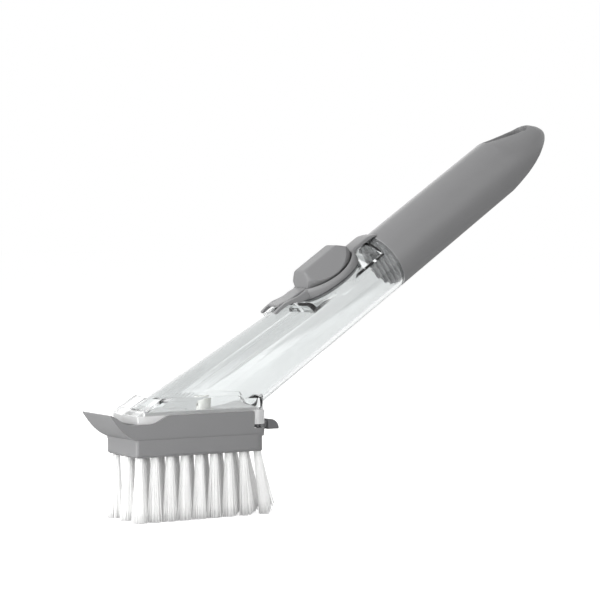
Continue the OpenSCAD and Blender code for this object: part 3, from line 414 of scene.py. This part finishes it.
# Polypropylene, injection moulded in a spark-eroded mould: mid grey, satin, with a faint grain.
grey_pp = moulded("grey satin polypropylene", "#818182", 0.42, 0.35, 0.012)
grip.data.materials.append(grey_pp)
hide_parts("handle")
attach(grip, "wand")
finish_nodes(grey_pp, "handle_plug")


# Filling cap.
# An oval lid over the collar, in polypropylene with a soft grey skin: a crowned rim round the
# pad's groove, a straight pull tongue, and two thin feet that lie on the tank beside it.
cap_s, cap_a, cap_b, cap_low = -31.0, 18.75, 14.4, 11.4
crown_n, crown_r = 17.2, 38.0


def crown(y):
    """Height of the lid's crown at y: an arc of the crown radius across the cap."""
    return crown_n - crown_r + np.sqrt(crown_r ** 2 - y ** 2)


def level(height):
    """A profile height that is the same all the way round."""
    return lambda y: 0 * y + height


def under_crown(drop):
    """A profile height that stays a drop under the crown."""
    return lambda y: crown(y) - drop


def oval_sweep(name, centre, a, b, profile):
    """A closed ring: a profile of (inset, height) pairs, height as a function of y, carried round an oval."""
    t = np.linspace(0, 2 * math.pi, 193)[:-1]
    rings = []
    for inset, height in profile:
        y = (b - inset) * np.sin(t)
        rings.append(np.stack([centre + (a - inset) * np.cos(t), y, height(y)], -1))
    rings.append(rings[0])
    return closed_surface(name, np.stack(rings), 50)


# From the well under the lid to the outer wall, round its shoulder, over the rim and down again.
well, chamfer, shoulder, wall_least, well_floor = 3.9, 0.25, 1.25, 1.6, 0.8
rim_profile = [(well, level(cap_low)), (chamfer, level(cap_low)), (0.0, level(cap_low + chamfer))]
rim_profile += [(shoulder * (1 - math.cos(bend)),
                 lambda y, bend=bend: np.maximum(crown(y) - 0.35, cap_low + wall_least)
                 - shoulder * (1 - math.sin(bend))) for bend in np.linspace(0, math.pi / 2, 7)]
rim_profile += [(1.3, under_crown(0.34)), (1.45, under_crown(0.5)), (1.5, under_crown(0.8)),
                (1.6, level(cap_low + well_floor)), (well, level(cap_low + well_floor))]
lid = oval_sweep("cap_lid", cap_s, cap_a, cap_b, rim_profile)
# Thermoplastic rubber over polypropylene: a little lighter and duller than the grip.
cap_grey = moulded("grey soft-touch elastomer", "#828283", 0.5, 0.4, 0.012, sheen=0.05)
lid.data.materials.append(cap_grey)
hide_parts("cap_frame")
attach(lid, "fill_cap")


def strip(name, path, wide, thick, corner=0.35, flatness=6.0, steps=90, passes=6):
    """A strap: a rounded flat section carried along a path of (s, n) points, with its half width and
    thickness at each. The path is smoothed by running means, and the section, square to it, is a
    superellipse of the power flatness."""
    path = np.asarray(path, dtype=float)
    t = np.linspace(0, 1, steps)
    d = np.concatenate([[0], np.cumsum(np.hypot(*np.diff(path, axis=0).T))])
    d /= d[-1]
    mid = np.stack([np.interp(t, d, path[:, 0]), np.interp(t, d, path[:, 1])], -1)
    kernel = np.array([1, 4, 6, 4, 1]) / 16
    for _ in range(passes):
        padded = np.pad(mid, ((2, 2), (0, 0)), mode="edge")
        blurred = np.stack([np.convolve(padded[:, k], kernel, mode="valid") for k in (0, 1)], -1)
        blurred[[0, -1]] = mid[[0, -1]]
        mid = blurred
    tangent = np.gradient(mid, axis=0)
    tangent /= np.linalg.norm(tangent, axis=1, keepdims=True)
    normal = np.stack([-tangent[:, 1], tangent[:, 0]], -1)
    width = np.interp(t, d, np.broadcast_to(wide, len(path)))[:, None]
    depth = np.interp(t, d, np.broadcast_to(thick, len(path)))[:, None]
    a = np.linspace(0, 2 * math.pi, 49)[:-1]
    across = np.sign(np.cos(a)) * np.abs(np.cos(a)) ** (2 / flatness)
    through = np.sign(np.sin(a)) * np.abs(np.sin(a)) ** (2 / flatness)
    from_end = np.minimum(t, 1 - t) * (d[-1] * np.hypot(*(path[-1] - path[0])))
    close = np.sqrt(np.clip(1 - (1 - np.clip(from_end / corner, 0, 1)) ** 2, 0, 1))[:, None]
    y = (width - corner * (1 - close)) * across
    out = depth / 2 * (0.25 + 0.75 * close) * through
    grid = np.stack([mid[:, :1] + normal[:, :1] * out, y, mid[:, 1:] + normal[:, 1:] * out], -1)
    first, last = grid[:1].mean(axis=1, keepdims=True), grid[-1:].mean(axis=1, keepdims=True)
    grid = np.concatenate([np.broadcast_to(first, grid[:1].shape), grid,
                           np.broadcast_to(last, grid[:1].shape)])
    return closed_surface(name, grid, 60)


tongue = strip("cap_tongue", [[-46.2, 16.2], [-50, 16.85], [-56, 17.05], [-58.6, 17.4], [-61, 17.9],
                              [-63.9, 18.5]], 5.0, [1.5, 1.4, 1.1, 1.2, 1.3, 1.3])
tongue.data.materials.append(cap_grey)
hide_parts("cap_frame")
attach(tongue, "fill_cap")
foot_y = 6.1
for side_name, y0 in (("near", -foot_y), ("far", foot_y)):
    foot = strip("cap_foot_" + side_name, [[-47.2, 14.4], [-52, 14.75], [-56, 16.2], [-60, 17.3],
                                           [-64, 17.4], [-67.9, 17.1]], 0.95, [4.2, 3.6, 2.2, 1.9, 1.7, 1.3])
    foot.data.transform(Matrix.Translation((0, y0 / 1000, 0)))
    foot.data.materials.append(cap_grey)
    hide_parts("cap_frame")
    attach(foot, "fill_cap")


# Cap strap.
# The living hinge between the lid and the grip's rim, moulded with the lid: a flat band that
# widens into the lid and tucks under the rim.
strap = strip("cap_strap_band", [[-15.6, 15.9], [-12, 16.0], [-7, 16.1], [-3, 16.05], [-0.6, 15.5],
                                 [1.8, 14.75]],
              [6.4, 5.1, 4.95, 4.95, 4.95, 4.95], [2.0, 2.1, 2.1, 2.0, 1.5, 0.9])
strap.data.materials.append(cap_grey)
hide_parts("cap_strap")
tuple(from_tube(-11.0, 0.0, 16.0).tolist())
tuple(from_tube(-3.0, 0.0, 16.0).tolist())
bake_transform(strap)
finish_nodes(grey_pp, "cap_liner", "pad_core")


# Pump pad.
# A hollow thumb pad in soft grey elastomer: an oval block cut by slanting planes to a flat roof,
# its edges softened as the mould's are. It sinks 2.5 mm into the lid's well.
pad_s, pad_a, pad_b, pad_low = -30.9, 16.9, 11.7, 14.9
roof_n, roof_half, roof_front, roof_rear = 24.0, 4.5, -42.5, -20.0
side_slope, front_slope, rear_slope, corner_slope, corner_turn = 50, 66, 43, 56, 42
t = np.linspace(0, 2 * math.pi, 193)[:-1]
shares = np.concatenate([np.linspace(0, 0.97, 90), [0.985, 0.994, 0.9985, 1.0]])
R, T = np.meshgrid(shares, t, indexing="ij")
s, y = pad_s + pad_a * R * np.cos(T), pad_b * R * np.sin(T)


def plane(px, py, azimuth, slope):
    """Height of a plane through the roof's edge at (px, py) that falls by a slope towards an azimuth."""
    way = math.radians(azimuth)
    return roof_n - ((s - px) * math.cos(way) + (y - py) * math.sin(way)) * math.tan(math.radians(slope))


planes = np.stack([0 * s + roof_n, plane(0, roof_half, 90, side_slope),
                   plane(0, -roof_half, -90, side_slope), plane(roof_front, 0, 180, front_slope),
                   plane(roof_rear, 0, 0, rear_slope),
                   plane(roof_front, roof_half, 180 - corner_turn, corner_slope),
                   plane(roof_front, -roof_half, 180 + corner_turn, corner_slope)])
# The lowest plane, with soft edges: minus e times the log of the sum of exp(-height / e).
edge_mm = 0.42
height = -edge_mm * np.log(np.sum(np.exp(-(planes - roof_n) / edge_mm), axis=0)) + roof_n
height = np.maximum(height, pad_low + 0.3)
height[-1] = np.maximum(height[-1] - 0.35, pad_low + 0.1)
height[-2] = np.maximum(height[-2] - 0.12, pad_low + 0.2)
top = np.stack([s, y, height], -1)
under = np.stack([np.stack([pad_s + pad_a * share * np.cos(t), pad_b * share * np.sin(t),
                            np.full(len(t), pad_low)], -1) for share in (0.995, 0.5, 0.0)])
pad = closed_surface("thumb_pad", np.concatenate([top, under]))
# Thermoplastic elastomer, moulded: mid grey, soft and matt.
pad_grey = moulded("matt grey elastomer", "#7e7e7f", 0.55, 0.35, 0.01, sheen=0.08)
pad.data.materials.append(pad_grey)
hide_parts("press_pad")
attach(pad, "press_button")


# Brush head.
# One moulding in the grip's grey polypropylene: the tufted block, the tray that takes the tank's
# base, and the scraper lip that stands out of its front.
def round_edges(target, radius_mm, above_degrees):
    """A small bevel of two steps on the edges above an angle, as a mould's edges have."""
    soft = target.modifiers.new("soft edges", "BEVEL")
    soft.width = radius_mm / 1000
    soft.segments = 2
    soft.limit_method = "ANGLE"
    soft.angle_limit = math.radians(above_degrees)


head = merged_copy("brush_head", "grey_brush_head", 25)
round_edges(head, 0.35, 35)
head.data.materials.append(grey_pp)
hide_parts("brush_head")
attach(head, "head")


# Bristles.
# White nylon 6 filaments 0.4 mm thick, folded over a steel anchor into each hole of the block,
# 64 to a tuft. They spread to the tips, and the rear tufts lean back.

# Nylon 6, drawn: white and slightly see-through, with a long soft highlight. The faint glow stands
# for the light that real filaments pass from one to the next.
nylon, tree = new_material("white nylon filament")
shade = two_tone(tree, noise(tree, 1.2, 1.0), linear("#f1f1f0"), linear("#f8f8f8"))
fibre = add(tree, "ShaderNodeBsdfPrincipled", {
    "Base Color": shade, "Roughness": 0.45, "IOR": 1.53,
    "Emission Color": (1, 1, 1, 1), "Emission Strength": 0.05})
let_through(tree, fibre, 0.8)

# Tufts stand in five rows, staggered, with none where the outlet's port is.
row_ys = (-11.6, -5.8, 0.0, 5.8, 11.6)
tuft_first, tuft_step, row_tufts = 3.2, 7.84, 9
port_x, port_clear = 42.4, 4.6
# How far a tuft spreads at its root and its tip, and how far the rear tufts lean back and lift.
root_z, root_fan, tip_fan_x, tip_fan_y, tip_limit_y = 30.3, 1.7, 3.9, 2.9, 14.8
lean_from, lean_over, tip_lean, tip_lift = 44, 22, 5.2, 5.6
strands, sides, levels, filament_r, golden_angle, bow = 64, 4, 6, 0.2, 2.39996, 1.1
rng = np.random.default_rng(7)
for row, y0 in enumerate(row_ys):
    odd = row % 2
    x0 = tuft_first + odd * tuft_step / 2 + tuft_step * np.arange(row_tufts - odd)
    x0 = x0[np.hypot(x0 - port_x, y0) > port_clear]
    k = np.arange(strands)
    fan, angle = np.tile(np.sqrt((k + 0.5) / strands), len(x0)), np.tile(k * golden_angle, len(x0))
    X0 = np.repeat(x0, strands)
    lean = np.clip((X0 - lean_from) / lean_over, 0, None) ** 2
    lift = tip_lift * lean * np.clip(np.cos(angle), 0, None) * fan
    wander = rng.normal(0, 0.22, (2, len(X0)))
    uneven = np.abs(rng.normal(0, 0.12, len(X0)))
    root = np.stack([X0 + root_fan * fan * np.cos(angle), y0 + root_fan * fan * np.sin(angle),
                     np.full(len(X0), root_z)], -1)
    tip = np.stack([X0 + tip_lean * lean + tip_fan_x * fan * np.cos(angle) + wander[0],
                    y0 + tip_fan_y * fan * np.sin(angle) + wander[1] * 0.8, lift + uneven], -1)
    tip[:, 1] = np.clip(tip[:, 1], -tip_limit_y, tip_limit_y)
    # Each filament bows out a little: its spread goes as the height's share to the power bow.
    down = np.linspace(0, 1, levels)
    flat = root[:, None, :2] + (tip - root)[:, None, :2] * (down ** bow)[None, :, None]
    high = root[:, None, 2] + (tip - root)[:, None, 2] * down[None, :]
    centre = np.concatenate([flat, high[..., None]], -1)
    around = np.linspace(0, 2 * math.pi, sides, endpoint=False)
    ring = filament_r * np.stack([np.cos(around), np.sin(around), 0 * around], -1)
    points = (centre[:, :, None, :] + ring[None, None, :, :]).reshape(-1, 3)
    points[:, 0] -= middle_x
    i = np.arange(levels - 1)[:, None] * sides
    j = np.arange(sides)[None, :]
    walls = np.stack([i + j, i + sides + j, i + sides + (j + 1) % sides, i + (j + 1) % sides], -1)
    ends = np.array([[0, 1, 2, 3], [(levels - 1) * sides + q for q in (3, 2, 1, 0)]])
    one = np.concatenate([walls.reshape(-1, 4), ends])
    faces = (np.arange(len(X0))[:, None, None] * levels * sides + one[None]).reshape(-1, 4)
    tufts = piece_from("bristle_tufts_%d" % (row + 1), points / 1000, faces)
    tufts.data.materials.append(nylon)
    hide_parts("bristles_row_%d" % (row + 1))
    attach(tufts, "head")

# Steel strip and wire, drawn and cut: bright, with fine lines along it.
steel, tree = new_material("bright steel strip")
rough = add(tree, "ShaderNodeMapRange", {"Value": noise(tree, 0.8, 2.0), "To Min": 0.22, "To Max": 0.38})
metal = add(tree, "ShaderNodeBsdfPrincipled", {"Base Color": linear("#c8cacc"), "Metallic": 1.0,
                                               "Roughness": rough.outputs["Result"]})
add(tree, "ShaderNodeOutputMaterial", {"Surface": metal.outputs[0]})
finish_nodes(steel, "tuft_anchors")


# Release latch and its wire.
# A sliding plate in acetal behind the tray, coloured a darker grey than the head, with a quarter-round
# thumb tab. Pushed in, it drives the wire's ends off the tank's hook feet.
# Acetal, moulded: a darker grey than the head's, over the whole latch.
latch_darker_grey = moulded("acetal, darker grey than the head", "#69696b", 0.4, 0.4, 0.01)
latch = merged_copy("release_latch", "dark_latch", 25)
round_edges(latch, 0.25, 50)
latch.data.materials.append(latch_darker_grey)
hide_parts("release_latch")
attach(latch, "latch")

# The wire's loop stays against the tray and its ends go with the latch; here it is one fixed piece.
spring = merged_copy("catch_spring", "catch_spring_wire", 40)
spring.data.materials.append(steel)
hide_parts("catch_spring")
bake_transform(spring)
